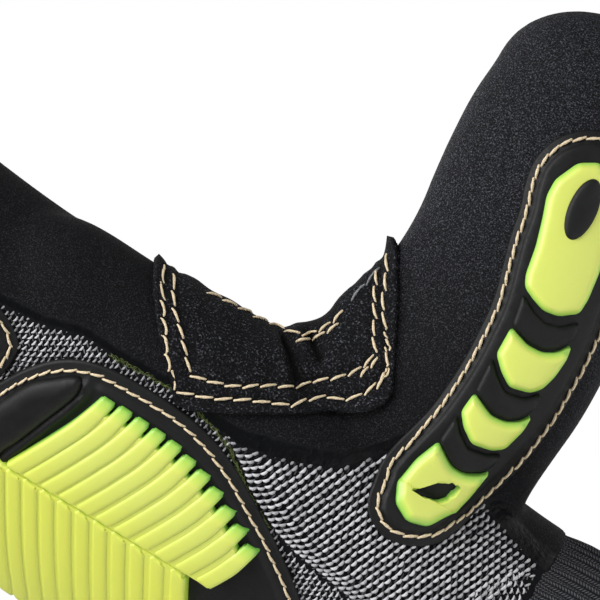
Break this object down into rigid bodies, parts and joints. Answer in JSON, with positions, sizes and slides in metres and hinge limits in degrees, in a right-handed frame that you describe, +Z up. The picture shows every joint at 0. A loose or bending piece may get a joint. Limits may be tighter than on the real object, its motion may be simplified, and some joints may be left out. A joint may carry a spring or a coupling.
{
  "type": "cut-resistant winter work glove",
  "caption": "Left-hand lined work glove filled as worn: sandy black coat, knit back and cuff, stitched crotch patch, black and lime impact guards.",
  "frame": {"origin": "centre of the cuff's mouth, where the wrist goes in", "axes": "+Z up the hand to the fingertips, +X towards the thumb's side, -Y the back of the hand"},
  "size_m": [0.1586, 0.112, 0.273],
  "materials": {
    "nitrile_coat": "sandy matte",
    "knit": "knitted",
    "cuff_knit": "rib knitted",
    "hem": "overlocked",
    "crotch_patch": "sueded",
    "black_guard": "moulded satin",
    "lime_guard": "moulded satin",
    "thread": "twisted"
  },
  "bodies": {
    "root": {"thumb": "nitrile_coat", "index_finger": "nitrile_coat", "middle_finger": "nitrile_coat", "ring_finger": "nitrile_coat", "little_finger": "nitrile_coat", "hand_back_knit": "knit", "coated_palm": "nitrile_coat", "knit_cuff": "cuff_knit", "cuff_hem": "hem", "thumb_crotch_patch": "crotch_patch", "knuckle_guard_base": "black_guard", "knuckle_guard_pad": "black_guard", "knuckle_guard_radial_rib_1": "lime_guard", "knuckle_guard_radial_rib_2": "lime_guard", "knuckle_guard_radial_rib_3": "lime_guard", "knuckle_guard_radial_rib_4": "lime_guard", "knuckle_guard_radial_rib_5": "lime_guard", "knuckle_guard_radial_rib_6": "lime_guard", "knuckle_guard_radial_rib_7": "lime_guard", "knuckle_guard_radial_rib_8": "lime_guard", "knuckle_guard_radial_rib_9": "lime_guard", "knuckle_guard_radial_rib_10": "lime_guard", "knuckle_guard_radial_rib_11": "lime_guard", "knuckle_guard_ulnar_rib_1": "lime_guard", "knuckle_guard_ulnar_rib_2": "lime_guard", "knuckle_guard_ulnar_rib_3": "lime_guard", "knuckle_guard_ulnar_rib_4": "lime_guard", "knuckle_guard_ulnar_rib_5": "lime_guard", "knuckle_guard_ulnar_rib_6": "lime_guard", "knuckle_guard_ulnar_rib_7": "lime_guard", "knuckle_guard_ulnar_rib_8": "lime_guard", "knuckle_guard_ulnar_rib_9": "lime_guard", "knuckle_guard_ulnar_rib_10": "lime_guard", "knuckle_guard_ulnar_rib_11": "lime_guard", "thumb_guard_base": "black_guard", "thumb_guard_lime_1": "lime_guard", "thumb_guard_lime_2": "lime_guard", "thumb_guard_lime_3": "lime_guard", "thumb_guard_lime_4": "lime_guard", "thumb_guard_pill": "black_guard", "index_guard_base": "black_guard", "index_guard_lime_1": "lime_guard", "index_guard_lime_2": "lime_guard", "index_guard_lime_3": "lime_guard", "middle_guard_base": "black_guard", "middle_guard_lime_1": "lime_guard", "middle_guard_lime_2": "lime_guard", "middle_guard_lime_3": "lime_guard", "ring_guard_base": "black_guard", "ring_guard_lime_1": "lime_guard", "ring_guard_lime_2": "lime_guard", "ring_guard_lime_3": "lime_guard", "little_guard_base": "black_guard", "little_guard_lime_1": "lime_guard", "little_guard_lime_2": "lime_guard", "little_guard_lime_3": "lime_guard"}
  },
  "joints": []
}
